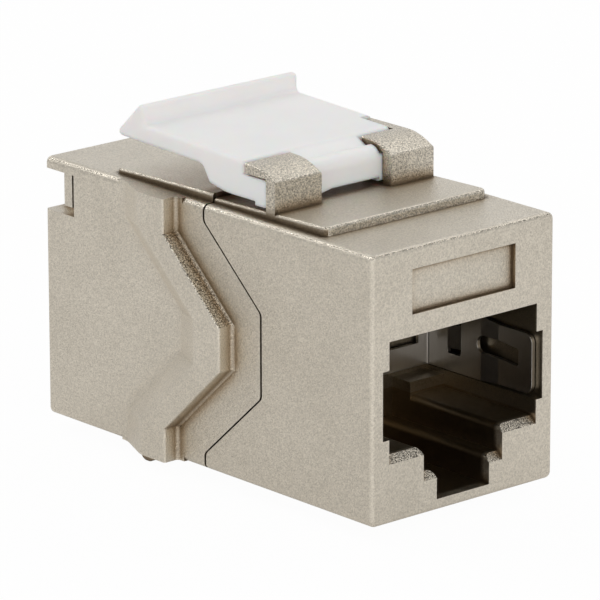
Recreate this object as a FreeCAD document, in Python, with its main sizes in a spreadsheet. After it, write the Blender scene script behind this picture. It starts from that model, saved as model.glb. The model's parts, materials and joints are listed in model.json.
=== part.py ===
"""Keystone coupler: two die-cast housings, a moulded latch, and a port at each end.

Each piece is drawn in the housing's own frame, in millimetres: X across, Y into the
housing from its front face, Z up from its underside. Placements then put the middle of
the footprint at the origin, with the lower catch on Z = 0.
"""

import FreeCAD, Part

import math
import os
import re

import Sketcher

SIZES = {
    # Housing, outside
    "body_width": 14.5,
    "body_height": 16.49,
    "body_length": 29.9,
    "edge_round": 0.4,
    "rim_round": 0.27,
    # Zigzag parting between the housings
    "parting_depth": 14.85,
    "parting_nose": 9.7,
    "parting_land": 1.0,
    "parting_flat": 5.25,
    "parting_gap": 0.16,
    "parting_round": 0.5,
    # Stop wedges on both sides of the rear housing
    "wedge_depth": 17.45,
    "wedge_nose": 12.35,
    "wedge_land": 2.15,
    "wedge_flat": 2.75,
    "wedge_proud": 1.09,
    "wedge_top": 2.3,
    "wedge_ramp": 2.5,
    "wedge_crest": 1.5,
    "wedge_blend": 1.5,
    "wedge_foot": 0.25,
    "wedge_round": 0.15,
    # Catch under the rear housing
    "catch_depth": 0.95,
    "catch_place": 20.7,
    "catch_length": 1.4,
    "catch_width": 13.9,
    "catch_round": 0.6,
    # Port opening, the same at both ends
    "port_width": 11.76,
    "port_ceiling": 11.12,
    "ledge_height": 4.1,
    "ledge_round": 0.4,
    "tab_width": 6.3,
    "tab_floor": 2.47,
    "key_width": 4.2,
    "key_floor": 0.7,
    "lead_in": 0.45,
    "channel_width": 12.76,
    "channel_low": 5.15,
    "channel_high": 9.38,
    "stop_depth": 8.1,
    "stop_rise": 0.8,
    # Bare label field on the front face
    "label_width": 8.2,
    "label_low": 12.42,
    "label_high": 15.17,
    "label_depth": 0.3,
    # Pads on top
    "pad_inset": 0.8,
    "pad_round": 0.2,
    "pad_corner": 0.5,
    "front_pad_start": 4.9,
    "front_pad_rise": 0.57,
    "front_pad_end_rise": 0.285,
    "rear_pad_rise": 0.54,
    "rear_pad_end_rise": 0.32,
    "rear_pad_end": 24.1,
    # Hooks over the latch
    "hook_width": 3.67,
    "hook_inset": 0.27,
    "hook_front": 9.4,
    "hook_post": 0.8,
    "hook_length": 2.72,
    "hook_gap_height": 2.34,
    "hook_tip": 0.66,
    "hook_shoulder": 2.35,
    "hook_slope": 1.3,
    "hook_round": 4.0,
    "hook_edge_round": 0.12,
    "root": 0.3,
    "arm_width": 0.8,
    # Notches in the rear corners, each with a hanging tongue
    "notch_length": 2.75,
    "notch_height": 2.62,
    "notch_roof": 0.72,
    "notch_depth": 1.5,
    "tongue_place": 1.86,
    "tongue_length": 0.74,
    "tongue_height": 2.05,
    "tongue_thick": 0.6,
    # Tray for the contact carriers and well for the board
    "tray_width": 10.4,
    "tray_ceiling": 14.2,
    "tray_wall": 1.4,
    "rail_width": 12.0,
    "rail_low": 11.7,
    "rail_high": 12.7,
    "well_floor": 7.3,
    "bulkhead": 1.5,
    # Locating pegs between the housings
    "peg_diameter": 1.8,
    "peg_spacing": 10.4,
    "peg_height": 2.0,
    "peg_length": 16.9,
    "peg_clearance": 0.05,
    # Grounding spring in each port
    "sheet": 0.25,
    "spring_clearance": 0.05,
    "spring_start": 0.6,
    "spring_margin": 0.1,
    "spring_jog": 0.3,
    "spring_jog_start": 3.5,
    "spring_jog_length": 1.2,
    "spring_drop": 0.3,
    "spring_bend": 0.35,
    "spring_round": 0.6,
    "spring_band": 6.7,
    "spring_post": 1.0,
    "slot_start": 1.75,
    "slot_end": 5.05,
    "slot_low": 6.72,
    "slot_rise": 0.3,
    "slot_height": 1.12,
    "slot_corner": 0.2,
    "window_start": 6.45,
    "window_end": 7.65,
    "window_low": 6.35,
    "window_high": 8.4,
    "window_corner": 0.15,
    "flap_gap": 0.3,
    "flap_end": 0.15,
    # Circuit board, contact carriers and contacts
    "board_thick": 1.2,
    "seat_clearance": 0.1,
    "stand_off": 0.5,
    "contact_pitch": 1.016,
    "contact_width": 0.36,
    "contact_thick": 0.3,
    "contact_clearance": 0.07,
    "contact_bend_start": 3.0,
    "contact_bend_radius": 0.75,
    "contact_tip_depth": 9.2,
    "contact_tip_height": 8.6,
    "tail_past_board": 0.3,
    "tail_hole": 0.62,
    "front_tail_height": 12.7,
    "rear_tail_height": 11.9,
    # Latch
    "nose_radius": 0.84,
    "nose_corner": 0.25,
    "latch_left_inset": 0.15,
    "latch_right_inset": 0.35,
    "latch_clearance": 0.1,
    "foot_length": 0.2,
    "foot_step": 0.25,
    "block_bevel_start": 14.6,
    "block_bevel_rise": 0.2,
    "block_end": 15.6,
    "block_round": 0.35,
    "neck_length": 0.65,
    "neck_round": 0.5,
    "plate_gap": 0.25,
    "plate_lip": 0.73,
    "plate_rise": 0.33,
    "plate_thick": 1.18,
    "ridge_front": 21.6,
    "ridge_rise": 1.15,
    "ridge_flat": 0.5,
    "latch_end": 24.45,
    "latch_round": 0.3,
    "latch_side_round": 0.28,
    "crown_rise": 0.38,
    "valley_rise": 0.18,
    "valley_place": 0.35,
    "arch_start": 1.2,
    "arch_rise": 0.3,
}

CONTACTS = 8
NEARLY_HALF = 0.48
ALIAS = re.compile(r"\b(" + "|".join(sorted(SIZES, key=len, reverse=True)) + r")\b")
TOLERANCE = 0.02

document = FreeCAD.newDocument("keystone_coupler")
sheet = document.addObject("Spreadsheet::Sheet", "sizes")
for row, (alias, size) in enumerate(SIZES.items(), start=1):
    sheet.set(f"A{row}", alias)
    sheet.set(f"B{row}", str(size))
    sheet.setAlias(f"B{row}", alias)
document.recompute()


def bound(text):
    """A formula of sizes, as an expression that refers to the sheet's cells."""
    return ALIAS.sub(lambda found: "sizes." + found.group(0), str(text))


def number(text):
    """The same formula worked out with the sheet's present values."""
    plain = ALIAS.sub(lambda found: repr(float(sheet.get(found.group(0)))), str(text))
    return FreeCAD.Units.Quantity(plain).Value


# Sketches and features

def new_body(label, turned=False):
    """A piece in the housing's frame; a turned one is placed from the rear face instead."""
    body = document.addObject("PartDesign::Body", label)
    body.Label = label
    turn = 180.0 if turned else 0.0
    body.Placement = FreeCAD.Placement(FreeCAD.Vector(), FreeCAD.Rotation(FreeCAD.Vector(0, 0, 1), turn))
    body.setExpression("Placement.Base.y", bound("body_length / 2" if turned else "-body_length / 2"))
    body.setExpression("Placement.Base.z", bound("catch_depth"))
    return body


def sketch_on(body, name, plane, place):
    """An empty sketch parallel to an origin plane of the body, at a place along its axis."""
    sketch = body.newObject("Sketcher::SketchObject", name)
    support = [item for item in body.Origin.OriginFeatures if item.Role == plane]
    sketch.AttachmentSupport = [(support[0], "")]
    sketch.MapMode = "FlatFace"
    # The XZ plane faces the front, so its own axis runs against Y.
    offset = f"-({place})" if plane == "XZ_Plane" else place
    sketch.setExpression("AttachmentOffset.Base.z", bound(offset))
    return sketch


def hold(sketch, kind, *target, size):
    """A dimension of a sketch, bound to a formula of sizes."""
    index = sketch.addConstraint(Sketcher.Constraint(kind, *target, number(size)))
    sketch.setExpression(f"Constraints[{index}]", bound(size))


def hold_point(sketch, geometry, end, corner):
    hold(sketch, "DistanceX", geometry, end, size=corner[0])
    hold(sketch, "DistanceY", geometry, end, size=corner[1])


def draw(sketch, corners):
    """A closed outline through corners (across, up), or (across, up, radius) where one is round."""
    points = [FreeCAD.Vector(number(corner[0]), number(corner[1]), 0) for corner in corners]
    radii = [number(corner[2]) if len(corner) > 2 else 0.0 for corner in corners]
    turns, arrivals, departures = [], [], []
    for here, point in enumerate(points):
        towards = (point - points[here - 1]).normalize()
        onwards = (points[(here + 1) % len(points)] - point).normalize()
        turn = math.atan2(towards.cross(onwards).z, towards.dot(onwards))
        setback = radii[here] * math.tan(abs(turn) / 2)
        turns.append(turn)
        arrivals.append(point - towards * setback)
        departures.append(point + onwards * setback)
    for here in range(len(points)):
        sketch.addGeometry(Part.LineSegment(departures[here], arrivals[(here + 1) % len(points)]))
    for here, corner in enumerate(corners):
        before = (here - 1) % len(points)
        if len(corner) == 2:
            sketch.addConstraint(Sketcher.Constraint("Coincident", before, 2, here, 1))
            hold_point(sketch, here, 1, corner)
            continue
        add_round(sketch, corner, points, before, here, turns[here], arrivals[here], departures[here])


def add_round(sketch, corner, points, before, here, turn, arrival, departure):
    """The arc between two sides of an outline, with its sharp corner kept as a point."""
    left = 1 if turn > 0 else -1
    inwards = (points[here] - points[before]).normalize()
    normal = FreeCAD.Vector(-inwards.y, inwards.x, 0) * left
    centre = arrival + normal * number(corner[2])
    first, last = (arrival, departure) if left > 0 else (departure, arrival)
    circle = Part.Circle(centre, FreeCAD.Vector(0, 0, 1), number(corner[2]))
    start = math.atan2(first.y - centre.y, first.x - centre.x)
    stop = math.atan2(last.y - centre.y, last.x - centre.x)
    arc = sketch.addGeometry(Part.ArcOfCircle(circle, start, stop if stop > start else stop + 2 * math.pi))
    point = sketch.addGeometry(Part.Point(points[here]), True)
    arrive_end, depart_end = (1, 2) if left > 0 else (2, 1)
    sketch.addConstraint([
        Sketcher.Constraint("Tangent", before, 2, arc, arrive_end),
        Sketcher.Constraint("Tangent", here, 1, arc, depart_end),
        Sketcher.Constraint("PointOnObject", point, 1, before),
        Sketcher.Constraint("PointOnObject", point, 1, here),
    ])
    hold(sketch, "Radius", arc, size=corner[2])
    hold_point(sketch, point, 1, corner)


def draw_all(sketch, outlines):
    """Several closed outlines of straight sides in one sketch."""
    for corners in outlines:
        first = sketch.GeometryCount
        points = [FreeCAD.Vector(number(across), number(up), 0) for across, up in corners]
        for here, point in enumerate(points):
            sketch.addGeometry(Part.LineSegment(point, points[(here + 1) % len(points)]))
        for here, corner in enumerate(corners):
            before = first + (here - 1) % len(points)
            sketch.addConstraint(Sketcher.Constraint("Coincident", before, 2, first + here, 1))
            hold_point(sketch, first + here, 1, corner)


def draw_path(sketch, corners):
    """An open line through corners."""
    points = [FreeCAD.Vector(number(across), number(up), 0) for across, up in corners]
    for here in range(len(points) - 1):
        sketch.addGeometry(Part.LineSegment(points[here], points[here + 1]))
        hold_point(sketch, here, 1, corners[here])
        if here:
            sketch.addConstraint(Sketcher.Constraint("Coincident", here - 1, 2, here, 1))
    hold_point(sketch, len(points) - 2, 2, corners[-1])


def draw_circles(sketch, circles):
    """Circles given as (across, up, diameter)."""
    for across, up, diameter in circles:
        centre = FreeCAD.Vector(number(across), number(up), 0)
        circle = sketch.addGeometry(Part.Circle(centre, FreeCAD.Vector(0, 0, 1), number(diameter) / 2))
        hold_point(sketch, circle, 3, (across, up))
        hold(sketch, "Diameter", circle, size=diameter)


def rectangle(left, right, low, high):
    return [(left, low), (right, low), (right, high), (left, high)]


def centred(width, low, high):
    return rectangle(f"-({width}) / 2", f"({width}) / 2", low, high)


def mirrored(half):
    """A closed outline from its right half, which runs upwards."""
    other = [(f"-({corner[0]})", *corner[1:]) for corner in reversed(half)]
    return half + other


def settle(body, feature, grows):
    """Compute a feature and make sure that it added or removed material as meant."""
    document.recompute()
    before = feature.BaseFeature.Shape.Volume if feature.BaseFeature else 0.0
    change = feature.Shape.Volume - before
    if (change if grows else -change) < TOLERANCE ** 3:
        raise RuntimeError(f"{body.Label}: {feature.Label} changes the volume by {change:.5f}")
    return feature


def add(body, name, plane, start, end, outline, drawn=draw):
    """Material between two places along the plane's axis."""
    sketch = sketch_on(body, name + "_sketch", plane, start)
    drawn(sketch, outline)
    pad = body.newObject("PartDesign::Pad", name)
    pad.Profile = sketch
    pad.Reversed = plane == "XZ_Plane"
    pad.setExpression("Length", bound(f"({end}) - ({start})"))
    return settle(body, pad, grows=True)


def cut(body, name, plane, start, end, outline, drawn=draw):
    """A pocket between two places along the plane's axis."""
    sketch = sketch_on(body, name + "_sketch", plane, start)
    drawn(sketch, outline)
    pocket = body.newObject("PartDesign::Pocket", name)
    pocket.Profile = sketch
    pocket.Reversed = plane != "XZ_Plane"
    pocket.setExpression("Length", bound(f"({end}) - ({start})"))
    return settle(body, pocket, grows=False)


def sweep(body, name, profile, spine, mode):
    """Material along a path, with the section turned along it or kept as it is."""
    pipe = body.newObject("PartDesign::AdditivePipe", name)
    pipe.Profile = profile
    pipe.Spine = (spine, [f"Edge{edge + 1}" for edge in range(len(spine.Shape.Edges))])
    pipe.Mode = mode
    pipe.Transition = "Right corner"
    return settle(body, pipe, grows=True)


def lies_within(bounds, low, high):
    lows = zip(low, (bounds.XMin, bounds.YMin, bounds.ZMin))
    highs = zip(high, (bounds.XMax, bounds.YMax, bounds.ZMax))
    return all(number(limit) - TOLERANCE < value for limit, value in lows) and all(
        number(limit) + TOLERANCE > value for limit, value in highs
    )


def round_edges(body, name, radius, boxes, sharp=()):
    """A fillet on the edges inside any of the boxes, less those inside a sharp one."""
    base = body.Tip
    chosen = []
    for index, edge in enumerate(base.Shape.Edges, start=1):
        inside = any(lies_within(edge.BoundBox, *box) for box in boxes)
        if inside and not any(lies_within(edge.BoundBox, *box) for box in sharp):
            chosen.append(f"Edge{index}")
    if not chosen:
        raise RuntimeError(f"{body.Label}: {name} finds no edge")
    fillet = body.newObject("PartDesign::Fillet", name)
    fillet.Base = (base, chosen)
    fillet.setExpression("Radius", bound(radius))
    document.recompute()
    return fillet


# Places and outlines that several pieces share

SIDE = "body_width / 2"
MIDDLE = "body_length / 2"
PAD_SIDE = f"({SIDE} - pad_inset)"
HOOK_INSIDE = f"({PAD_SIDE} - hook_width)"
RIGHT_HOOK_SIDE = f"({PAD_SIDE} - hook_inset)"
HOOK_END = "(hook_front + hook_length)"
HOOK_TOP = "(body_height + hook_gap_height + hook_tip)"
REAR_PORT_DEPTH = "(parting_nose + parting_gap)"


def parting(gap="0"):
    """The zigzag between the housings, from the underside to the top."""
    return [
        (f"parting_depth + {gap}", "0"),
        (f"parting_depth + {gap}", "parting_land", "parting_round"),
        (f"parting_nose + {gap}", "(body_height - parting_flat) / 2", "parting_round"),
        (f"parting_nose + {gap}", "(body_height + parting_flat) / 2", "parting_round"),
        (f"parting_depth + {gap}", "body_height - parting_land", "parting_round"),
        (f"parting_depth + {gap}", "body_height"),
    ]


def port_outline():
    """The stepped opening for a plug and its tab, with a channel for the spring on each side."""
    return mirrored([
        ("key_width / 2", "key_floor"),
        ("key_width / 2", "tab_floor", "ledge_round"),
        ("tab_width / 2", "tab_floor"),
        ("tab_width / 2", "ledge_height", "ledge_round"),
        ("port_width / 2", "ledge_height"),
        ("port_width / 2", "channel_low"),
        ("channel_width / 2", "channel_low"),
        ("channel_width / 2", "channel_high"),
        ("port_width / 2", "channel_high"),
        ("port_width / 2", "port_ceiling"),
    ])


def tray_outline(clearance="0"):
    """The space above a port for its contact carrier, with a rail groove on each side."""
    inner = f"tray_width / 2 - {clearance}"
    outer = f"rail_width / 2 - {clearance}"
    return mirrored([
        (inner, f"port_ceiling + {clearance}"),
        (inner, f"rail_low + {clearance}"),
        (outer, f"rail_low + {clearance}"),
        (outer, f"rail_high - {clearance}"),
        (inner, f"rail_high - {clearance}"),
        (inner, f"tray_ceiling - {clearance}"),
    ])


def cut_port(body, mouth, inwards, depth):
    """A port from its mouth to a depth, with bevelled ledges and a stop at their inner ends."""
    def at(distance):
        return f"{mouth} {inwards} ({distance})"

    near, far = (mouth, at(depth)) if inwards == "+" else (at(depth), mouth)
    cut(body, "port", "XZ_Plane", near, far, port_outline())
    for name, level, width in (("ledge", "ledge_height", "port_width"), ("tab", "tab_floor", "tab_width")):
        bevel = [(mouth, f"{level} - lead_in"), (at("lead_in"), level), (mouth, level)]
        cut(body, name + "_lead_in", "YZ_Plane", f"-{width} / 2", f"{width} / 2", bevel)
    near, far = (at("stop_depth"), at(depth)) if inwards == "+" else (at(depth), at("stop_depth"))
    stop = rectangle(near, far, "tab_floor", "ledge_height + stop_rise")
    add(body, "right_stop", "YZ_Plane", "tab_width / 2", "port_width / 2", stop)
    add(body, "left_stop", "YZ_Plane", "-port_width / 2", "-tab_width / 2", stop)


def round_casting(body, start, end, face):
    """Round a casting's long edges between two depths, and then the rim of its outer face."""
    long_edges = []
    for across in (f"-{SIDE}", SIDE):
        for level in ("0", "body_height"):
            long_edges.append(((across, start, level), (across, end, level)))
    round_edges(body, "long_edges", "edge_round", long_edges)
    rim = ((f"-{SIDE}", face, "0"), (SIDE, face, "body_height"))
    round_edges(body, "rim", "rim_round", [rim])


def add_pad(body, start, end, start_rise, end_rise, free_end):
    """A low raised field on top of a housing, rounded at its sides and its free end."""
    outline = [
        (start, "body_height - root"),
        (end, "body_height - root"),
        (end, f"body_height + {end_rise}"),
        (start, f"body_height + {start_rise}"),
    ]
    add(body, "top_pad", "YZ_Plane", f"-{PAD_SIDE}", PAD_SIDE, outline)
    joined_end = start if free_end == end else end
    low = min(start_rise, end_rise, key=number)
    high = max(start_rise, end_rise, key=number)
    corners = []
    for across in (f"-{PAD_SIDE}", PAD_SIDE):
        corners.append(((across, free_end, "body_height"), (across, free_end, f"body_height + {high}")))
    round_edges(body, "pad_corners", "pad_corner", corners)
    top = ((f"-{PAD_SIDE}", start, f"body_height + {low}"), (PAD_SIDE, end, f"body_height + {high}"))
    joint = ((f"-{PAD_SIDE}", joined_end, "body_height"), (PAD_SIDE, joined_end, f"body_height + {high}"))
    round_edges(body, "pad_edges", "pad_round", [top], [joint])


# Housings

def front_housing():
    body = new_body("front_housing")
    outline = [("0", "0"), *parting(), ("0", "body_height")]
    add(body, "casting", "YZ_Plane", f"-{SIDE}", SIDE, outline)
    round_casting(body, "0", "parting_depth", "0")
    cut_port(body, "0", "+", "parting_nose")
    label = centred("label_width", "label_low", "label_high")
    cut(body, "label_field", "XZ_Plane", "0", "label_depth", label)
    cut(body, "tray", "XZ_Plane", "tray_wall", "parting_depth", tray_outline())
    start, end = "front_pad_start", "parting_depth"
    add_pad(body, start, end, "front_pad_rise", "front_pad_end_rise", free_end=start)
    hook = [
        ("hook_front", "body_height - root"),
        ("hook_front + hook_post", "body_height - root"),
        ("hook_front + hook_post", "body_height + hook_gap_height"),
        (HOOK_END, "body_height + hook_gap_height"),
        (HOOK_END, HOOK_TOP),
        ("hook_front + hook_slope", HOOK_TOP, "hook_round"),
        ("hook_front", "body_height + hook_shoulder"),
    ]
    add(body, "left_hook", "YZ_Plane", f"-{PAD_SIDE}", f"-{HOOK_INSIDE}", hook)
    add(body, "right_hook", "YZ_Plane", HOOK_INSIDE, RIGHT_HOOK_SIDE, hook)
    arm = rectangle(f"{HOOK_END} - root", "parting_depth", "body_height - root", HOOK_TOP)
    add(body, "arm", "YZ_Plane", f"{RIGHT_HOOK_SIDE} - arm_width", RIGHT_HOOK_SIDE, arm)
    round_hooks(body)
    add(body, "pegs", "XZ_Plane", "parting_nose + root", "peg_length", peg_circles(), draw_circles)
    return body


def round_hooks(body):
    """Break the hooks' edges above their shoulders, at their sides and along their fronts."""
    shoulder = "body_height + hook_shoulder"
    sides = [
        (f"-{PAD_SIDE}", HOOK_END),
        (f"-{HOOK_INSIDE}", HOOK_END),
        (HOOK_INSIDE, HOOK_END),
        (RIGHT_HOOK_SIDE, "parting_depth"),
    ]
    edges = [((across, "hook_front", shoulder), (across, end, HOOK_TOP)) for across, end in sides]
    for left, right in ((f"-{PAD_SIDE}", f"-{HOOK_INSIDE}"), (HOOK_INSIDE, RIGHT_HOOK_SIDE)):
        edges.append(((left, "hook_front", shoulder), (right, "hook_front", shoulder)))
    round_edges(body, "hook_edges", "hook_edge_round", edges)


def peg_circles(clearance="0"):
    diameter = f"peg_diameter + 2 * {clearance}"
    return [(f"{sign}peg_spacing / 2", "peg_height", diameter) for sign in ("-", "")]


def rear_housing():
    body = new_body("rear_housing")
    outline = [*parting("parting_gap"), ("body_length", "body_height"), ("body_length", "0")]
    add(body, "casting", "YZ_Plane", f"-{SIDE}", SIDE, outline)
    round_casting(body, "parting_depth + parting_gap", "body_length", "body_length")
    for side, sign in (("left", "-"), ("right", "")):
        add_wedge(body, side + "_wedge", sign)
    catch_start = "catch_place - catch_length / 2"
    catch_end = "catch_place + catch_length / 2"
    catch = [
        (catch_start, "root"),
        (catch_start, "-catch_depth", "catch_round"),
        (catch_end, "-catch_depth", "catch_round"),
        (catch_end, "root"),
    ]
    add(body, "catch", "YZ_Plane", "-catch_width / 2", "catch_width / 2", catch)
    cut_port(body, "body_length", "-", REAR_PORT_DEPTH)
    cut(body, "tray", "XZ_Plane", "parting_nose", "body_length - tray_wall", tray_outline())
    well_end = f"body_length - {REAR_PORT_DEPTH} - bulkhead"
    cut(body, "well", "XZ_Plane", "parting_nose", well_end, centred("tray_width", "well_floor", "rail_low"))
    cut(body, "sockets", "XZ_Plane", "parting_nose", "peg_length + seat_clearance",
        peg_circles("peg_clearance"), draw_circles)
    start, end = "parting_depth + parting_gap", "rear_pad_end"
    add_pad(body, start, end, "rear_pad_rise", "rear_pad_end_rise", free_end=end)
    roof = "body_height - notch_roof"
    notch = rectangle("body_length - notch_length", "body_length", f"{roof} - notch_height", roof)
    cut(body, "left_notch", "YZ_Plane", f"-{SIDE}", f"-({SIDE} - notch_depth)", notch)
    cut(body, "right_notch", "YZ_Plane", f"{SIDE} - notch_depth", SIDE, notch)
    tongue_end = "body_length - tongue_place"
    tongue_start = f"{tongue_end} - tongue_length"
    tongue = rectangle(tongue_start, tongue_end, f"{roof} - tongue_height", f"{roof} + root")
    add(body, "left_tongue", "YZ_Plane", f"-{SIDE}", f"-({SIDE} - tongue_thick)", tongue)
    add(body, "right_tongue", "YZ_Plane", f"{SIDE} - tongue_thick", SIDE, tongue)
    return body


def add_wedge(body, name, sign):
    """A chevron on one side: a step with a hollow foot, a flat top, and a ramp that fades out to the rear."""
    def across(distance):
        return f"{sign}({SIDE} + {distance})"

    # The ramp's blend meets the side within this length, up to a ramp of 35 degrees.
    tail = "wedge_blend / 3"
    section = [
        (across("-root"), "wedge_depth - wedge_foot - root"),
        (across("0"), "wedge_depth - wedge_foot - root"),
        (across("0"), "wedge_depth", "wedge_foot"),
        (across("wedge_proud"), "wedge_depth", "wedge_round"),
        (across("wedge_proud"), "wedge_depth + wedge_top", "wedge_crest"),
        (across("0"), "wedge_depth + wedge_top + wedge_ramp", "wedge_blend"),
        (across("0"), f"wedge_depth + wedge_top + wedge_ramp + {tail}"),
        (across("-root"), f"wedge_depth + wedge_top + wedge_ramp + {tail}"),
    ]
    profile = sketch_on(body, name + "_section", "XY_Plane", "0")
    draw(profile, section)
    spine = sketch_on(body, name + "_path", "YZ_Plane", "0")
    draw_path(spine, [
        ("wedge_depth", "0"),
        ("wedge_depth", "wedge_land"),
        ("wedge_nose", "(body_height - wedge_flat) / 2"),
        ("wedge_nose", "(body_height + wedge_flat) / 2"),
        ("wedge_depth", "body_height - wedge_land"),
        ("wedge_depth", "body_height"),
    ])
    document.recompute()
    sweep(body, name, profile, spine, "Fixed")


# Port fittings, drawn for the front port and turned round for the rear one

def shield_spring(label, turned):
    """A sheet bent to a U: two slotted leaves, each with a flap bent out to the wall, and a band behind."""
    body = new_body(label, turned)
    leaf = "(channel_width / 2 - spring_clearance)"
    inset = f"({leaf} - spring_jog)"
    jog_end = "spring_jog_start + spring_jog_length"
    back = "parting_nose - spring_clearance"
    plan = mirrored([
        (f"{inset} - sheet", f"{back} - sheet", "spring_bend - sheet"),
        (f"{inset} - sheet", jog_end),
        (f"{leaf} - sheet", "spring_jog_start"),
        (f"{leaf} - sheet", "spring_start"),
        (leaf, "spring_start"),
        (leaf, "spring_jog_start"),
        (inset, jog_end),
        (inset, back, "spring_bend"),
    ])
    low = "channel_low + spring_margin"
    high = "channel_high - spring_margin"
    add(body, "strip", "XY_Plane", low, high, plan)
    post = f"({inset} - spring_post)"
    gap = rectangle(f"-{post}", post, "spring_band", high)
    cut(body, "back_gap", "XZ_Plane", f"{back} - 2 * sheet", back, gap)
    tip_high = f"{high} - spring_drop"
    shoulder = [
        ("spring_start", tip_high),
        ("spring_jog_start", tip_high),
        (jog_end, high),
        ("spring_start", high),
    ]
    cut(body, "shoulders", "YZ_Plane", f"-{leaf}", leaf, shoulder)
    slot_end_round = f"slot_height * {NEARLY_HALF}"
    slot = [
        ("slot_start", "slot_low", "slot_corner"),
        ("slot_end", "slot_low + slot_rise", slot_end_round),
        ("slot_end", "slot_low + slot_rise + slot_height", slot_end_round),
        ("slot_start", "slot_low + slot_height", "slot_corner"),
    ]
    cut(body, "slots", "YZ_Plane", f"-{leaf}", leaf, slot)
    window = [
        ("window_start", "window_low", "window_corner"),
        ("window_end", "window_low", "window_corner"),
        ("window_end", "window_high"),
        ("window_start", "window_high"),
    ]
    cut(body, "windows", "YZ_Plane", f"-{leaf}", leaf, window)
    flaps = []
    for sign in ("", "-"):
        flaps.append([
            (f"{sign}({inset} - sheet)", "window_end"),
            (f"{sign}{inset}", "window_end"),
            (f"{sign}{leaf}", "window_start + flap_end"),
            (f"{sign}({leaf} - sheet)", "window_start + flap_end"),
        ])
    add(body, "flaps", "XY_Plane", "window_low + flap_gap", "window_high - flap_gap", flaps, draw_all)
    corners = []
    for level in (low, tip_high):
        for sign in ("-", ""):
            near = sorted((f"{sign}{leaf}", f"{sign}({leaf} - sheet)"), key=number)
            corners.append(((near[0], "spring_start", level), (near[1], "spring_start", level)))
    round_edges(body, "tips", "spring_round", corners)
    return body


def contact_carrier(label, tail_height, turned):
    """A comb over the port, with a slot from below for each contact."""
    body = new_body(label, turned)
    end = f"{MIDDLE} - board_thick / 2 - stand_off"
    add(body, "beam", "XZ_Plane", "tray_wall + seat_clearance", end, tray_outline("seat_clearance"))
    width = "contact_width + 2 * contact_clearance"
    top = f"{tail_height} + contact_thick / 2 + contact_clearance"
    slots = []
    for index in range(CONTACTS):
        place = contact_place(index)
        slots.append(rectangle(f"{place} - ({width}) / 2", f"{place} + ({width}) / 2", "port_ceiling", top))
    cut(body, "slots", "XZ_Plane", "tray_wall + seat_clearance", end, slots, draw_all)
    return body


def contact_place(index):
    return f"contact_pitch * {index - (CONTACTS - 1) / 2}"


def contact(label, index, tail_height, turned):
    """A bent strip: a tail through the board, a run along the comb, and a sprung end in the port."""
    body = new_body(label, turned)
    place = contact_place(index)
    tail_end = f"{MIDDLE} + board_thick / 2 + tail_past_board"
    path = sketch_on(body, label + "_path", "YZ_Plane", place)
    draw_contact_path(path, tail_end, tail_height)
    section = sketch_on(body, label + "_section", "XZ_Plane", tail_end)
    draw(section, rectangle(
        f"{place} - contact_width / 2", f"{place} + contact_width / 2",
        f"{tail_height} - contact_thick / 2", f"{tail_height} + contact_thick / 2",
    ))
    document.recompute()
    sweep(body, label + "_strip", section, path, "Standard")
    return body


def draw_contact_path(sketch, tail_end, tail_height):
    """A straight run forwards, a bend down and back, and a tangent run to the tip."""
    radius = number("contact_bend_radius")
    centre = FreeCAD.Vector(number("contact_bend_start"), number(tail_height) - radius, 0)
    tip = FreeCAD.Vector(number("contact_tip_depth"), number("contact_tip_height"), 0)
    away = tip - centre
    leaving = math.atan2(away.y, away.x) - math.acos(radius / away.Length) + 2 * math.pi
    edge = centre + FreeCAD.Vector(math.cos(leaving), math.sin(leaving), 0) * radius
    top = centre + FreeCAD.Vector(0, radius, 0)
    run = sketch.addGeometry(Part.LineSegment(FreeCAD.Vector(number(tail_end), top.y, 0), top))
    circle = Part.Circle(centre, FreeCAD.Vector(0, 0, 1), radius)
    bend = sketch.addGeometry(Part.ArcOfCircle(circle, math.pi / 2, leaving))
    end = sketch.addGeometry(Part.LineSegment(edge, tip))
    sketch.addConstraint([
        Sketcher.Constraint("Horizontal", run),
        Sketcher.Constraint("Tangent", run, 2, bend, 1),
        Sketcher.Constraint("Tangent", end, 1, bend, 2),
    ])
    hold_point(sketch, run, 1, (tail_end, tail_height))
    hold(sketch, "DistanceX", run, 2, size="contact_bend_start")
    hold(sketch, "Radius", bend, size="contact_bend_radius")
    hold_point(sketch, end, 2, ("contact_tip_depth", "contact_tip_height"))


def circuit_board():
    body = new_body("circuit_board")
    front = f"{MIDDLE} - board_thick / 2"
    back = f"{MIDDLE} + board_thick / 2"
    width = "tray_width - 2 * seat_clearance"
    outline = centred(width, "well_floor + seat_clearance", "tray_ceiling - seat_clearance")
    add(body, "board", "XZ_Plane", front, back, outline)
    holes = []
    for tail_height in ("front_tail_height", "rear_tail_height"):
        for index in range(CONTACTS):
            holes.append((contact_place(index), tail_height, "tail_hole"))
    cut(body, "holes", "XZ_Plane", front, back, holes, draw_circles)
    return body


# Latch

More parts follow.
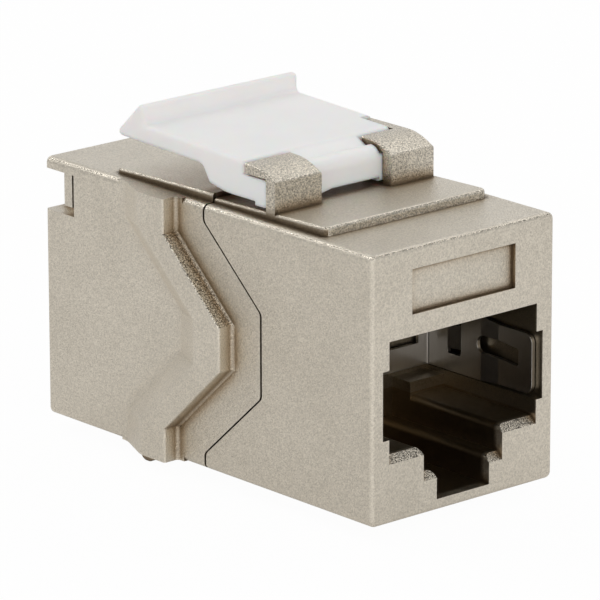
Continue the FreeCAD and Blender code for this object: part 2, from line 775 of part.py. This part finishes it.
def latch():
    body = new_body("latch")

    def above(rise):
        return f"body_height + {rise}"

    nose_top = "hook_gap_height - latch_clearance"
    nose_bottom = f"{nose_top} - 2 * nose_radius"
    nose_front = "hook_front + hook_post + latch_clearance"
    nose_round = f"2 * nose_radius * {NEARLY_HALF}"
    foot_end = f"{nose_front} + nose_radius + foot_length"
    plate_front = f"({HOOK_END} + plate_gap)"
    lip = "hook_gap_height + plate_lip"
    ridge_top = f"{lip} + plate_rise + ridge_rise"

    def plate_top(depth):
        return f"{lip} + plate_rise * ({depth} - {plate_front}) / (ridge_front - {plate_front})"

    neck_end = "block_end + neck_length"
    outline = [
        (nose_front, above(nose_bottom), "nose_corner"),
        (foot_end, above(nose_bottom)),
        (foot_end, above(f"{nose_bottom} + foot_step")),
        ("block_bevel_start", above(f"{nose_bottom} + foot_step")),
        ("block_end", above(f"{nose_bottom} + foot_step + block_bevel_rise"), "block_round"),
        (neck_end, above(f"{plate_top(neck_end)} - plate_thick"), "neck_round"),
        ("latch_end", above(f"{plate_top('latch_end')} - plate_thick"), "latch_round"),
        ("ridge_front + ridge_flat", above(ridge_top), "latch_round"),
        ("ridge_front", above(ridge_top), "latch_round"),
        ("ridge_front", above(f"{lip} + plate_rise"), "latch_round"),
        (plate_front, above(lip), "latch_round"),
        (plate_front, above(nose_top)),
        (nose_front, above(nose_top), "nose_corner"),
    ]
    left = f"-({PAD_SIDE} - latch_left_inset)"
    right = f"({PAD_SIDE} - latch_right_inset)"
    add(body, "moulding", "YZ_Plane", left, right, outline)
    plate_edges = []
    for side in (left, right):
        plate_edges.append(((side, plate_front, above(nose_top)), (side, "latch_end", above(ridge_top))))
    round_edges(body, "plate_edges", "latch_side_round", plate_edges)
    crown_front = f"{nose_front} + nose_radius"
    crown = [
        (nose_front, above(f"{nose_top} - nose_radius")),
        (f"{plate_front} + latch_round", above(f"{nose_top} - nose_radius")),
        (f"{plate_front} + latch_round", above(plate_top(f"({plate_front} + latch_round)"))),
        (f"{crown_front} + valley_place", above("hook_gap_height + valley_rise")),
        (crown_front, above("hook_gap_height + crown_rise")),
        (nose_front, above("hook_gap_height + crown_rise"), nose_round),
    ]
    crown_side = f"({HOOK_INSIDE} - latch_clearance)"
    add(body, "crown", "YZ_Plane", f"-{crown_side}", crown_side, crown)
    arch = [
        (f"-{crown_side}", above(nose_bottom)),
        (crown_side, above(nose_bottom)),
        (crown_side, above(f"{nose_bottom} + arch_rise")),
        ("-arch_start", above(f"{nose_bottom} + arch_rise")),
    ]
    cut(body, "arch", "XZ_Plane", nose_front, foot_end, arch)
    arm_side = f"{RIGHT_HOOK_SIDE} - arm_width - latch_clearance"
    beside_arm = rectangle(arm_side, right, nose_front, "parting_depth + latch_clearance")
    cut(body, "arm_notch", "XY_Plane", "body_height", above(f"{lip} + plate_rise"), beside_arm)
    return body


# The coupler

pieces = [front_housing(), rear_housing(), latch(), circuit_board()]
for end, tail_height, turned in (("front", "front_tail_height", False), ("rear", "rear_tail_height", True)):
    pieces.append(shield_spring(f"{end}_shield_spring", turned))
    pieces.append(contact_carrier(f"{end}_contact_carrier", tail_height, turned))
    for index in range(CONTACTS):
        pieces.append(contact(f"{end}_contact_{index + 1}", index, tail_height, turned))

document.recompute()
for item in document.Objects:
    if "Invalid" in item.State or "Error" in item.State:
        raise RuntimeError(f"{item.Label} can't be built: {item.State}")
for piece in pieces:
    if piece.Shape.isNull() or not piece.Shape.isValid() or len(piece.Shape.Solids) != 1:
        raise RuntimeError(f"{piece.Label} isn't one valid solid")
os.makedirs("parts", exist_ok=True)
for piece in pieces:
    piece.Shape.exportStep(f"parts/{piece.Label}.step")
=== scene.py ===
"""Keystone coupler: finishes for every piece, with the floor, the light and the camera."""

import json
import math

import bpy
from mathutils import Matrix, Vector


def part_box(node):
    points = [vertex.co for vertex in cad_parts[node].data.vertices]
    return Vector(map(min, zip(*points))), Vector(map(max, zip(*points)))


MM = 0.001

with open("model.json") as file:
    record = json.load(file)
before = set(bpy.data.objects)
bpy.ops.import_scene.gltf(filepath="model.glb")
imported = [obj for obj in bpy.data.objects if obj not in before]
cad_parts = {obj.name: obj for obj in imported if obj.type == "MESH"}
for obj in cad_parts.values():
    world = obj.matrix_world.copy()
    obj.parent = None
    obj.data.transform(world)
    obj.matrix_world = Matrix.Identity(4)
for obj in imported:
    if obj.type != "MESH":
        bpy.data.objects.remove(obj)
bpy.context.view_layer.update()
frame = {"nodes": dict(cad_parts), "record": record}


# Node tools

OPENNESS_SAMPLES = 8
ROUNDING_SAMPLES = 4
# Most of a noise's values lie between these two.
NOISE_LOW = 0.3
NOISE_HIGH = 0.7


class Nodes:
    """Short ways to add nodes to the tree of a material or of the world."""

    def __init__(self, tree):
        self.nodes = tree.nodes
        self.links = tree.links

    def join(self, value, item):
        """Link a socket to an input, or set the input to a plain value."""
        if isinstance(value, bpy.types.NodeSocket):
            self.links.new(value, item)
        else:
            item.default_value = value

    def fill(self, node, **inputs):
        """Join values to inputs of a node, named in small letters with underscores."""
        for name, value in inputs.items():
            self.join(value, node.inputs[name.replace("_", " ").title()])

    def add(self, kind, operation=None, **inputs):
        """A new node with its inputs filled."""
        node = self.nodes.new(kind)
        if operation is not None:
            node.operation = operation
        self.fill(node, **inputs)
        return node

    def maths(self, operation, *values):
        """A sum on one or two values, each a socket or a number."""
        node = self.add("ShaderNodeMath", operation)
        for value, item in zip(values, node.inputs):
            self.join(value, item)
        return node.outputs["Value"]

    def product(self, *sockets):
        """The values of sockets times one another."""
        product = sockets[0]
        for socket in sockets[1:]:
            product = self.maths("MULTIPLY", product, socket)
        return product

    def between(self, socket, low, high):
        """1 where a socket's value lies between two limits, and 0 elsewhere."""
        above = self.maths("GREATER_THAN", socket, low)
        below = self.maths("LESS_THAN", socket, high)
        return self.product(above, below)

    def spread(self, socket, low, high, start=NOISE_LOW, end=NOISE_HIGH, curve="LINEAR"):
        """A value that runs from low to high while a socket runs from start to end."""
        node = self.add("ShaderNodeMapRange", value=socket)
        node.interpolation_type = curve
        self.fill(node, from_min=start, from_max=end, to_min=low, to_max=high)
        return node.outputs["Result"]

    def rising(self, socket, start=NOISE_LOW, end=NOISE_HIGH):
        """A value that rises from 0 to 1 while a socket runs from start to end."""
        return self.spread(socket, 0.0, 1.0, start, end)

    def falling(self, socket, start, end):
        """A value that falls from 1 to 0 while a socket runs from start to end."""
        return self.spread(socket, 1.0, 0.0, start, end)

    def parts(self, socket):
        """The three parts of a place or a direction."""
        node = self.add("ShaderNodeSeparateXYZ", vector=socket)
        return [node.outputs[name] for name in "XYZ"]


class Shader(Nodes):
    """The nodes of a new material with a principled shader."""

    def __init__(self, name):
        self.material = bpy.data.materials.new(name)
        self.material.use_nodes = True
        super().__init__(self.material.node_tree)
        coordinates = self.add("ShaderNodeTexCoord")
        self.place = coordinates.outputs["Object"]
        self.normal = coordinates.outputs["Normal"]

    def finish(self, **inputs):
        """The material, with inputs of its principled shader filled."""
        self.fill(self.nodes["Principled BSDF"], **inputs)
        return self.material

    def noise(self, size, detail=2.0, roughness=0.5, stretch=(1.0, 1.0, 1.0)):
        """Noise whose features are about a size in metres, longer along a stretched axis."""
        scale = [1.0 / (size * times) for times in stretch]
        mapping = self.add("ShaderNodeMapping", vector=self.place, scale=scale)
        noise = self.add("ShaderNodeTexNoise", vector=mapping.outputs["Vector"], scale=1.0)
        self.fill(noise, detail=detail, roughness=roughness)
        return noise.outputs["Fac"]

    def blend(self, socket, first, second):
        """A colour between two, each a colour or a socket, by a socket's value."""
        node = self.add("ShaderNodeMix", factor=socket)
        node.data_type = "RGBA"
        # The colour sockets of this node share their names with those for plain values.
        ends = [item for item in node.inputs if item.type == "RGBA"]
        for end, colour in zip(ends, (first, second)):
            self.join((*colour, 1.0) if isinstance(colour, tuple) else colour, end)
        return [item for item in node.outputs if item.type == "RGBA"][0]

    def mix(self, socket, first, second):
        """A value between those of two sockets, by a socket's value."""
        return self.add("ShaderNodeMix", factor=socket, a=first, b=second).outputs["Result"]

    def shade(self, colour, socket):
        """A colour made lighter or darker by a socket's value."""
        return self.add("ShaderNodeVectorMath", "SCALE", vector=colour, scale=socket).outputs["Vector"]

    def openness(self, reach):
        """How open a place is within a reach, from 0 in a pocket to 1 on an open face."""
        node = self.add("ShaderNodeAmbientOcclusion", distance=reach)
        node.samples = OPENNESS_SAMPLES
        return node.outputs["AO"]

    def flatness(self):
        """1 where the surface faces straight along an axis, falling on rounded edges and bevels."""
        facing = [self.maths("ABSOLUTE", part) for part in self.parts(self.normal)]
        return self.maths("MAXIMUM", self.maths("MAXIMUM", facing[0], facing[1]), facing[2])

    def rounded(self, radius):
        """The way the surface faces, as if its sharp edges had a small radius."""
        node = self.add("ShaderNodeBevel", radius=radius)
        node.samples = ROUNDING_SAMPLES
        return node.outputs["Normal"]

    def bump(self, socket, height, strength, over=None):
        """Relief of a height in metres from a socket, on top of another relief."""
        node = self.add("ShaderNodeBump", height=socket, distance=height, strength=strength)
        if over is not None:
            self.fill(node, normal=over)
        return node.outputs["Normal"]


# Regions of the housings where the plating or its painted shade differs, from the boxes of the pieces

front_low, front_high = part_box("front_housing")
spring_low, spring_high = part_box("front_shield_spring")
PORT_MOUTH = -front_low.y
PADS_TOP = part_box("rear_housing")[1].z

# Each limit lies a little off the faces that it parts, so that no face lies on one.
PORT_SIDE = spring_high.x + 0.27 * MM
PORT_LOW = front_low.z + 0.35 * MM
PORT_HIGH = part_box("front_contact_carrier")[0].z + 0.23 * MM
LEDGES_TOP = spring_low.z - 1.0 * MM
PADS_LOW = PADS_TOP - 0.68 * MM
PADS_SIDE = front_high.x - 1.05 * MM
PADS_END = PORT_MOUTH - 6.45 * MM
HOOKS_LOW = PADS_TOP + 0.12 * MM

# Inside a port, the painted shade on its ledges and in the room above them deepens between these two
# places.
LEDGES_PALE = PORT_MOUTH - 0.45 * MM
LEDGES_DARK = PORT_MOUTH - 0.8 * MM
ROOM_PALE = PORT_MOUTH - 0.01 * MM
ROOM_DARK = PORT_MOUTH - 0.15 * MM


def port_depths(shader):
    """How far a place lies inside a port, from 0 to 1: among the ledges, and in the room above; also
    the share of painted shade there.
    """
    sideways, lengthways, height = shader.parts(shader.place)
    across = shader.maths("LESS_THAN", shader.maths("ABSOLUTE", sideways), PORT_SIDE)
    along = shader.maths("ABSOLUTE", lengthways)
    ledges = shader.rising(along, LEDGES_PALE, LEDGES_DARK)
    room = shader.rising(along, ROOM_PALE, ROOM_DARK)
    ledges = shader.product(ledges, across, shader.between(height, PORT_LOW, LEDGES_TOP))
    room = shader.product(room, across, shader.between(height, LEDGES_TOP, PORT_HIGH))
    return ledges, room


def pad_faces(shader):
    """Where the fronts and backs of the pads are, and the strips along their sides."""
    sideways, lengthways, height = shader.parts(shader.place)
    across = shader.maths("ABSOLUTE", sideways)
    inner = shader.maths("LESS_THAN", across, PADS_SIDE)
    outer = shader.maths("GREATER_THAN", across, PADS_SIDE)
    at_end = shader.maths("GREATER_THAN", shader.maths("ABSOLUTE", lengthways), PADS_END)
    facing = shader.maths("ABSOLUTE", shader.parts(shader.normal)[1])
    level = shader.between(height, PADS_LOW, HOOKS_LOW)
    fronts = shader.product(level, inner, at_end, shader.rising(facing))
    strips = shader.product(level, outer)
    return fronts, strips


# Finishes

# The clouds, lines or weave of a finish run between its pair of colours.
NICKEL = ((0.67, 0.615, 0.52), (0.71, 0.653, 0.555))
# Painted shade: darker, browner nickel laid where the surface is hemmed in (corners, pockets, creases),
# on the strips beside the pads, and on the ledges and in the room inside the ports.
SHADE_PAINTED_IN_CORNERS = (0.48, 0.375, 0.255)
SHADE_PAINTED_IN_POCKETS = (0.28, 0.215, 0.145)
SHADE_PAINTED_IN_CREASES = (0.22, 0.17, 0.115)
SHADE_PAINTED_BESIDE_PADS = (0.17, 0.13, 0.085)
SHADE_PAINTED_ON_LEDGES = (0.22, 0.17, 0.11)
SHADE_PAINTED_IN_ROOM = (0.27, 0.23, 0.17)
RAISED_SPECKLE = 0.55
RELIEF_STRENGTH = 0.8
LATCH_WHITE = ((0.88, 0.875, 0.865), (0.9, 0.895, 0.885))
SPRING_GREY = ((0.48, 0.46, 0.43), (0.5, 0.48, 0.45))
CARRIER_BLACK = ((0.018, 0.018, 0.018), (0.026, 0.026, 0.027))
MASK_GREEN = ((0.02, 0.1, 0.04), (0.03, 0.14, 0.06))
CONTACT_GOLD = ((0.86, 0.62, 0.26), (0.92, 0.7, 0.34))


def plating_colour(shader, painted_shades):
    """Nickel with faint clouds, and with painted shades over it, each by its own share."""
    cloud = shader.rising(shader.noise(size=4.0 * MM, detail=3.0))
    colour = shader.blend(cloud, *NICKEL)
    for share, shade_colour in painted_shades:
        colour = shader.blend(share, colour, shade_colour)
    return colour


def upper_edges(shader, close_openness, outside):
    """Rounded edges that face upwards, clear of corners and outside the ports, from 0 to 1."""
    edge = shader.falling(shader.flatness(), start=0.73, end=0.83)
    upward = shader.rising(shader.parts(shader.normal)[2], start=0.2, end=0.5)
    clear = shader.rising(close_openness, start=0.7, end=0.9)
    return shader.product(edge, upward, clear, outside)


def zinc():
    """Satin nickel plating on a casting: grained, speckled on edges, with painted shade in corners,
    beside the pads and in ports.
    """
    shader = Shader("nickel_plated_zinc")
    ledges, room = port_depths(shader)
    outside = shader.falling(shader.maths("MAXIMUM", ledges, room), start=0.0, end=1.0)
    pad_fronts, pad_strips = pad_faces(shader)
    openness = shader.maths("MAXIMUM", shader.openness(reach=1.0 * MM), pad_fronts)
    close_openness = shader.maths("MAXIMUM", shader.openness(reach=0.3 * MM), pad_fronts)
    # Painted shade on the strips along the sides of the pads, where they are hemmed in.
    shade_beside_pads = shader.product(pad_strips, shader.falling(openness, start=0.7, end=0.92))
    # Painted shade over the nickel, each share taken from how hemmed in a place is or from where it
    # lies.
    colour = plating_colour(shader, (
        (shader.falling(openness, start=0.65, end=0.95), SHADE_PAINTED_IN_CORNERS),
        (shader.falling(openness, start=0.48, end=0.68), SHADE_PAINTED_IN_POCKETS),
        (shader.falling(close_openness, start=0.65, end=0.95), SHADE_PAINTED_IN_CREASES),
        (shade_beside_pads, SHADE_PAINTED_BESIDE_PADS),
        (ledges, SHADE_PAINTED_ON_LEDGES),
        (room, SHADE_PAINTED_IN_ROOM),
    ))

    edge = upper_edges(shader, close_openness, outside)
    hooks = shader.maths("GREATER_THAN", shader.parts(shader.place)[2], HOOKS_LOW)
    raised = shader.maths("MAXIMUM", hooks, pad_fronts)
    rough = shader.maths("MAXIMUM", edge, shader.maths("MULTIPLY", raised, RAISED_SPECKLE))
    grain = shader.noise(size=0.1 * MM, roughness=0.6)
    speck = shader.noise(size=0.09 * MM, roughness=0.6)
    grained = shader.spread(grain, low=0.8, high=1.17)
    speckled = shader.spread(speck, low=0.15, high=1.4, start=0.38, end=0.6)
    dull = shader.spread(grain, low=0.9, high=1.1)
    pits = shader.mix(ledges, shader.mix(rough, grained, speckled), dull)

    satin = shader.spread(shader.noise(size=0.5 * MM), low=0.3, high=0.38)
    bright = shader.spread(speck, low=0.12, high=0.3)
    strength = shader.maths("MULTIPLY", outside, RELIEF_STRENGTH)
    relief = shader.bump(grain, height=0.04 * MM, strength=strength)
    relief = shader.bump(speck, height=0.05 * MM, strength=strength, over=relief)
    return shader.finish(
        metallic=1.0,
        base_color=shader.shade(colour, pits),
        roughness=shader.mix(edge, satin, bright),
        normal=relief,
    )


def latch_plastic():
    """White moulding that lets a little light in."""
    shader = Shader("white_latch_plastic")
    cloud = shader.rising(shader.noise(size=3.0 * MM))
    skin = shader.noise(size=0.15 * MM, detail=3.0)
    return shader.finish(
        base_color=shader.blend(cloud, *LATCH_WHITE),
        roughness=0.5,
        subsurface_weight=0.3,
        subsurface_scale=1.0 * MM,
        normal=shader.bump(skin, height=0.004 * MM, strength=0.5, over=shader.rounded(radius=0.3 * MM)),
    )


def spring_sheet():
    """Stamped sheet with faint upright rolling lines."""
    shader = Shader("stamped_spring_sheet")
    line = shader.noise(size=0.08 * MM, stretch=(1.0, 1.0, 30.0))
    return shader.finish(
        metallic=1.0,
        base_color=shader.blend(shader.rising(line), *SPRING_GREY),
        roughness=shader.spread(line, low=0.28, high=0.3),
        normal=shader.rounded(radius=0.06 * MM),
    )


def carrier_plastic():
    """Black moulding with a fine matt skin."""
    shader = Shader("black_carrier_plastic")
    cloud = shader.rising(shader.noise(size=1.0 * MM))
    return shader.finish(
        base_color=shader.blend(cloud, *CARRIER_BLACK),
        roughness=shader.spread(shader.noise(size=0.2 * MM), low=0.4, high=0.5),
        normal=shader.bump(shader.noise(size=0.1 * MM), height=0.004 * MM, strength=0.4),
    )


def board_mask():
    """Solder mask with the weave of the laminate just showing."""
    shader = Shader("green_solder_mask")
    weave = shader.noise(size=0.4 * MM, detail=1.0)
    return shader.finish(
        base_color=shader.blend(shader.rising(weave), *MASK_GREEN),
        roughness=shader.spread(weave, low=0.25, high=0.35),
        normal=shader.bump(weave, height=0.005 * MM, strength=0.3),
    )


def contact_gold():
    """Gold plating with drawing lines along the strip."""
    shader = Shader("gold_plated_contact")
    line = shader.noise(size=0.05 * MM, stretch=(1.0, 20.0, 1.0))
    return shader.finish(
        metallic=1.0,
        base_color=shader.blend(shader.rising(line), *CONTACT_GOLD),
        roughness=shader.spread(line, low=0.18, high=0.3),
        normal=shader.bump(line, height=0.002 * MM, strength=0.4),
    )


FINISHES = {
    "zinc": zinc(),
    "latch": latch_plastic(),
    "spring": spring_sheet(),
    "carrier": carrier_plastic(),
    "board": board_mask(),
    "contact": contact_gold(),
}
for subpart in frame["record"]["subparts"]:
    node = frame["nodes"][subpart["node"]]
    node.data.materials.clear()
    node.data.materials.append(FINISHES[subpart["material_slot"]])


# Floor

FLOOR_SIZE = 6.0
FLOOR_PAPER = (0.88, 0.87, 0.86, 1.0)
FLOOR_SEEN_WHITE = 0.97
FLOOR_MIRRORED_WHITE = 0.3


def floor_material():
    """White paper: seen almost as plain white, with a little of the object's shadow kept."""
    material = bpy.data.materials.new("white_paper")
    material.use_nodes = True
    tree = Nodes(material.node_tree)
    tree.nodes.remove(tree.nodes["Principled BSDF"])
    rays = tree.add("ShaderNodeLightPath").outputs
    seen = tree.maths("MULTIPLY", rays["Is Camera Ray"], FLOOR_SEEN_WHITE)
    mirrored = tree.maths("MAXIMUM", rays["Is Glossy Ray"], rays["Is Transmission Ray"])
    mirrored = tree.maths("MULTIPLY", mirrored, FLOOR_MIRRORED_WHITE)
    paper = tree.add("ShaderNodeBsdfDiffuse", color=FLOOR_PAPER)
    glow = tree.add("ShaderNodeEmission", strength=1.0)
    mix = tree.add("ShaderNodeMixShader", fac=tree.maths("ADD", seen, mirrored))
    tree.join(paper.outputs["BSDF"], mix.inputs[1])
    tree.join(glow.outputs["Emission"], mix.inputs[2])
    tree.fill(tree.nodes["Material Output"], surface=mix.outputs["Shader"])
    return material


def floor():
    """A square of paper under the object."""
    half = FLOOR_SIZE / 2
    mesh = bpy.data.meshes.new("floor")
    corners = [(-half, -half, 0.0), (half, -half, 0.0), (half, half, 0.0), (-half, half, 0.0)]
    mesh.from_pydata(corners, [], [(0, 1, 2, 3)])
    mesh.materials.append(floor_material())
    plane = bpy.data.objects.new("floor", mesh)
    bpy.context.scene.collection.objects.link(plane)


floor()


# Light

SKY_WHITE = (1.0, 1.0, 1.0, 1.0)
SKY_LOW = 1.0
SKY_HIGH = 0.5
SKY_TURNS = (0.0, 0.7)
OPEN_SIDES = (
    (Vector((-0.75, 0.66, 0.0)), 0.3),
    (Vector((0.75, -0.66, 0.0)), 0.65),
)
OPEN_SIDE_TURNS = (0.75, 0.95)

SOFTBOX_DISTANCE = 0.6


def sky():
    """A white tent, darker overhead, and open at the left and the right as the camera sees it."""
    world = bpy.data.worlds.new("white_tent")
    bpy.context.scene.world = world
    world.use_nodes = True
    tree = Nodes(world.node_tree)
    direction = tree.add("ShaderNodeTexCoord").outputs["Generated"]
    height = tree.parts(direction)[2]
    level = tree.spread(height, SKY_LOW, SKY_HIGH, *SKY_TURNS, curve="SMOOTHSTEP")
    for side, times in OPEN_SIDES:
        facing = tree.add("ShaderNodeVectorMath", "DOT_PRODUCT")
        tree.join(direction, facing.inputs[0])
        tree.join(side, facing.inputs[1])
        opening = tree.spread(facing.outputs["Value"], 1.0, times, *OPEN_SIDE_TURNS, curve="SMOOTHSTEP")
        level = tree.product(level, opening)
    tree.fill(tree.nodes["Background"], color=SKY_WHITE, strength=level)


def softbox(name, direction, size, power):
    """A square lamp in a direction from the object, turned to face it, in metres and watts."""
    lamp = bpy.data.lights.new(name, "AREA")
    lamp.shape = "SQUARE"
    lamp.size = size
    lamp.energy = power
    holder = bpy.data.objects.new(name, lamp)
    away = Vector(direction).normalized()
    holder.location = away * SOFTBOX_DISTANCE
    holder.rotation_euler = away.to_track_quat("Z", "Y").to_euler()
    bpy.context.scene.collection.objects.link(holder)


sky()
softbox("overhead_softbox", direction=(0.6, 0.12, 0.79), size=0.35, power=0.5)
softbox("rear_softbox", direction=(-0.3, 0.65, 0.7), size=0.3, power=0.7)
softbox("camera_softbox", direction=(-0.4, -0.75, 0.53), size=0.5, power=0.8)


# Camera, at the photograph's viewing angle

CAMERA_AZIMUTH = math.radians(-41.2654)
CAMERA_ELEVATION = math.radians(16.6335)
CAMERA_ROLL = math.radians(-0.1245)
CAMERA_DISTANCE = 343.695 * MM
CAMERA_TARGET = Vector((0.4086, 0.05, 10.0212)) * MM
# Blender takes the lens and the sensor in millimetres.
CAMERA_LENS = 340.83
CAMERA_SENSOR = 36.0


def camera():
    """A long lens that looks at the target, turned by the roll about its own line of sight."""
    flat = math.cos(CAMERA_ELEVATION)
    back = Vector((
        math.sin(CAMERA_AZIMUTH) * flat,
        -math.cos(CAMERA_AZIMUTH) * flat,
        math.sin(CAMERA_ELEVATION),
    ))
    level = Vector((math.cos(CAMERA_AZIMUTH), math.sin(CAMERA_AZIMUTH), 0.0))
    upright = back.cross(level)
    right = level * math.cos(CAMERA_ROLL) + upright * math.sin(CAMERA_ROLL)
    up = back.cross(right)
    lens = bpy.data.cameras.new("camera")
    lens.sensor_width = CAMERA_SENSOR
    lens.lens = CAMERA_LENS
    holder = bpy.data.objects.new("camera", lens)
    turn = Matrix((right, up, back)).transposed().to_4x4()
    holder.matrix_world = Matrix.Translation(CAMERA_TARGET + back * CAMERA_DISTANCE) @ turn
    bpy.context.scene.collection.objects.link(holder)
    bpy.context.scene.camera = holder


camera()
bpy.context.scene.view_settings.view_transform = "Standard"
